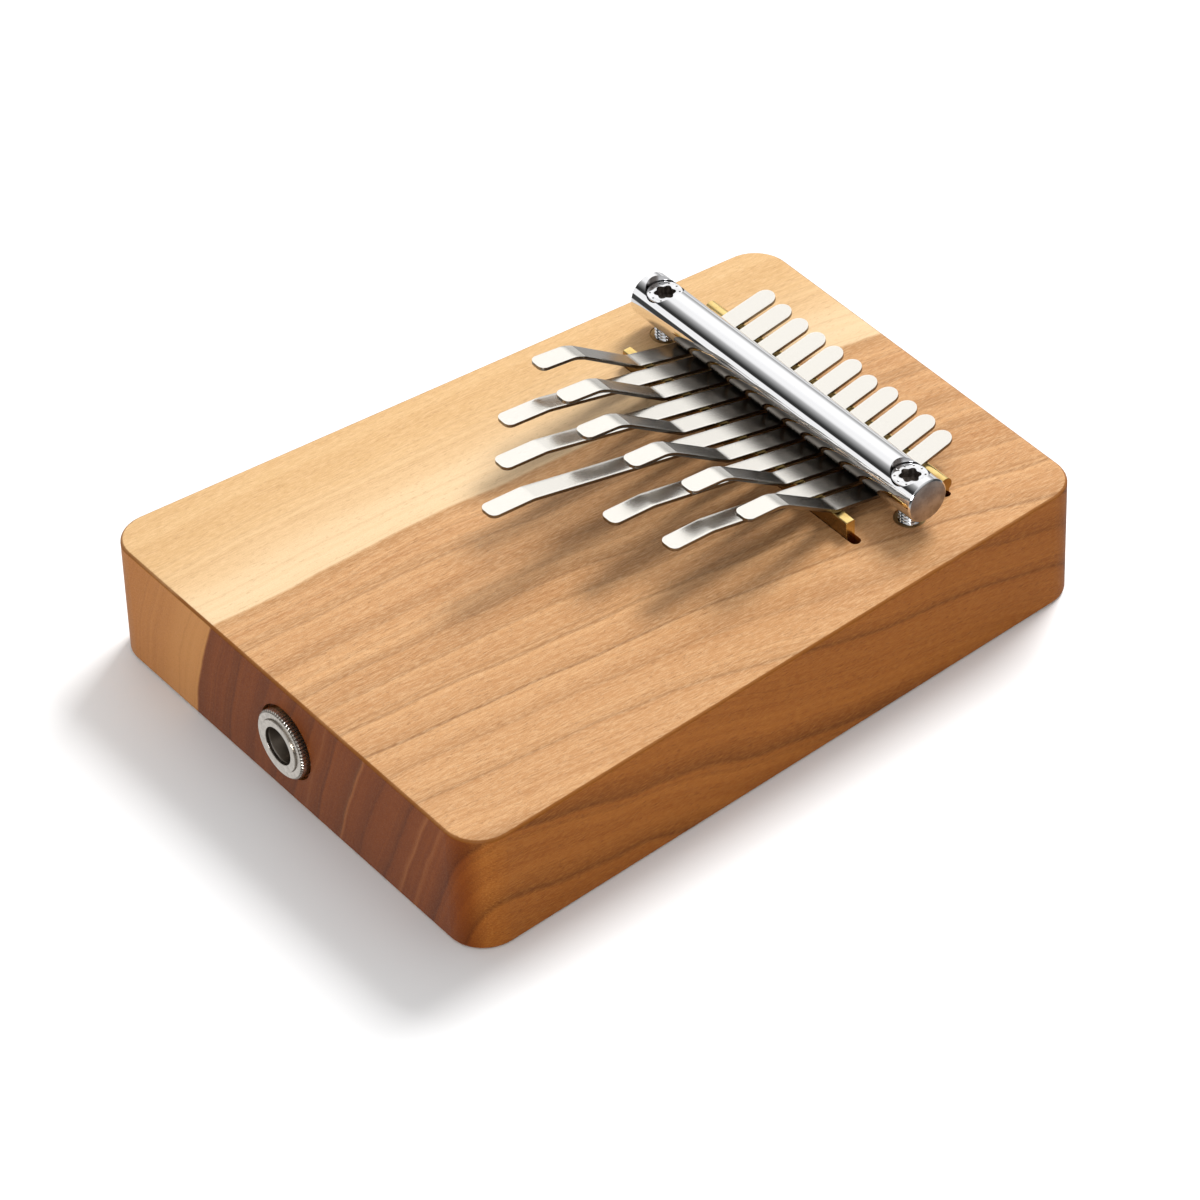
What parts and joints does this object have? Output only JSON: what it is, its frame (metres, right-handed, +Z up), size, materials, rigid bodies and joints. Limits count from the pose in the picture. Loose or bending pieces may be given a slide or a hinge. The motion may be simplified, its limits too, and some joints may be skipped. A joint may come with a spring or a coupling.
{
  "type": "mbira",
  "caption": "Board mbira: tapered round-cornered hardwood board, steel tines clamped over two brass bridges by a chrome pressure bar, and a pickup jack in the end face.",
  "frame": {"origin": "centre of the flat base the board rests on", "axes": "+Z up, -Y towards the player (the end with the jack), +X to the player's right"},
  "size_m": [0.1288, 0.1721, 0.0484],
  "materials": {
    "board_wood": "satin oil on fine-grained hardwood, pale sapwood on the left",
    "cover_plywood": "sanded plywood, oiled",
    "tine_steel": "satin spring steel, brushed along its length",
    "bar_chrome": "mirror-polished chrome",
    "screw_chrome": "bright plated",
    "bridge_brass": "polished brass",
    "small_brass": "turned brass",
    "jack_nickel": "bright nickel plate",
    "washer_steel": "zinc plated",
    "contact_bronze": "bright spring bronze",
    "black_plastic": "moulded",
    "piezo_ceramic": "silvered ceramic",
    "red_wire": "PVC insulation",
    "black_wire": "PVC insulation"
  },
  "bodies": {
    "frame": {"board": "board_wood", "pocket_cover": "cover_plywood", "cover_screws": "small_brass", "front_bridge": "bridge_brass", "rear_bridge": "bridge_brass", "pressure_bar": "bar_chrome", "bar_screw_left": "screw_chrome", "bar_screw_right": "screw_chrome", "screw_insert_left": "small_brass", "screw_insert_right": "small_brass", "tine_01_heel": "tine_steel", "tine_02_heel": "tine_steel", "tine_03_heel": "tine_steel", "tine_04_heel": "tine_steel", "tine_05_heel": "tine_steel", "tine_06_heel": "tine_steel", "tine_07_heel": "tine_steel", "tine_08_heel": "tine_steel", "tine_09_heel": "tine_steel", "tine_10_heel": "tine_steel", "tine_11_heel": "tine_steel", "jack_barrel": "jack_nickel", "jack_nut": "jack_nickel", "jack_washer": "washer_steel", "jack_insulator": "black_plastic", "jack_tip_lug": "contact_bronze", "jack_ground_lug": "washer_steel", "piezo_disc": "small_brass", "piezo_ceramic": "piezo_ceramic", "wire_hot": "red_wire", "wire_ground": "black_wire"},
    "tine_01": {"tine_01_tongue": "tine_steel"},
    "tine_02": {"tine_02_tongue": "tine_steel"},
    "tine_03": {"tine_03_tongue": "tine_steel"},
    "tine_04": {"tine_04_tongue": "tine_steel"},
    "tine_05": {"tine_05_tongue": "tine_steel"},
    "tine_06": {"tine_06_tongue": "tine_steel"},
    "tine_07": {"tine_07_tongue": "tine_steel"},
    "tine_08": {"tine_08_tongue": "tine_steel"},
    "tine_09": {"tine_09_tongue": "tine_steel"},
    "tine_10": {"tine_10_tongue": "tine_steel"},
    "tine_11": {"tine_11_tongue": "tine_steel"},
    "jack_contact": {"jack_tip_contact": "contact_bronze"}
  },
  "joints": [
    {"name": "tine_01_flex", "type": "hinge", "parent": "frame", "child": "tine_01", "pos_m": [-0.03297, 0.0365, 0.03421], "axis": [1, 0, 0], "range_deg": [-2, 5], "stiffness_Nm_per_rad": 4.224},
    {"name": "tine_02_flex", "type": "hinge", "parent": "frame", "child": "tine_02", "pos_m": [-0.02658, 0.0365, 0.03421], "axis": [1, 0, 0], "range_deg": [-2, 5], "stiffness_Nm_per_rad": 2.868},
    {"name": "tine_03_flex", "type": "hinge", "parent": "frame", "child": "tine_03", "pos_m": [-0.02018, 0.0365, 0.03421], "axis": [1, 0, 0], "range_deg": [-2, 5], "stiffness_Nm_per_rad": 3.787},
    {"name": "tine_04_flex", "type": "hinge", "parent": "frame", "child": "tine_04", "pos_m": [-0.01379, 0.0365, 0.03421], "axis": [1, 0, 0], "range_deg": [-2, 5], "stiffness_Nm_per_rad": 2.3},
    {"name": "tine_05_flex", "type": "hinge", "parent": "frame", "child": "tine_05", "pos_m": [-0.00739, 0.0365, 0.03421], "axis": [1, 0, 0], "range_deg": [-2, 5], "stiffness_Nm_per_rad": 3.303},
    {"name": "tine_06_flex", "type": "hinge", "parent": "frame", "child": "tine_06", "pos_m": [-0.001, 0.0365, 0.03421], "axis": [1, 0, 0], "range_deg": [-2, 5], "stiffness_Nm_per_rad": 1.837},
    {"name": "tine_07_flex", "type": "hinge", "parent": "frame", "child": "tine_07", "pos_m": [0.00539, 0.0365, 0.03421], "axis": [1, 0, 0], "range_deg": [-2, 5], "stiffness_Nm_per_rad": 3.499},
    {"name": "tine_08_flex", "type": "hinge", "parent": "frame", "child": "tine_08", "pos_m": [0.01179, 0.0365, 0.03421], "axis": [1, 0, 0], "range_deg": [-2, 5], "stiffness_Nm_per_rad": 2.671},
    {"name": "tine_09_flex", "type": "hinge", "parent": "frame", "child": "tine_09", "pos_m": [0.01818, 0.0365, 0.03421], "axis": [1, 0, 0], "range_deg": [-2, 5], "stiffness_Nm_per_rad": 4.059},
    {"name": "tine_10_flex", "type": "hinge", "parent": "frame", "child": "tine_10", "pos_m": [0.02458, 0.0365, 0.03421], "axis": [1, 0, 0], "range_deg": [-2, 5], "stiffness_Nm_per_rad": 3},
    {"name": "tine_11_flex", "type": "hinge", "parent": "frame", "child": "tine_11", "pos_m": [0.03097, 0.0365, 0.03421], "axis": [1, 0, 0], "range_deg": [-2, 5], "stiffness_Nm_per_rad": 4.687},
    {"name": "jack_contact_flex", "type": "hinge", "parent": "frame", "child": "jack_contact", "pos_m": [0, -0.0548, 0.02035], "axis": [1, 0, 0], "range_deg": [-10, 0], "stiffness_Nm_per_rad": 0.02}
  ]
}
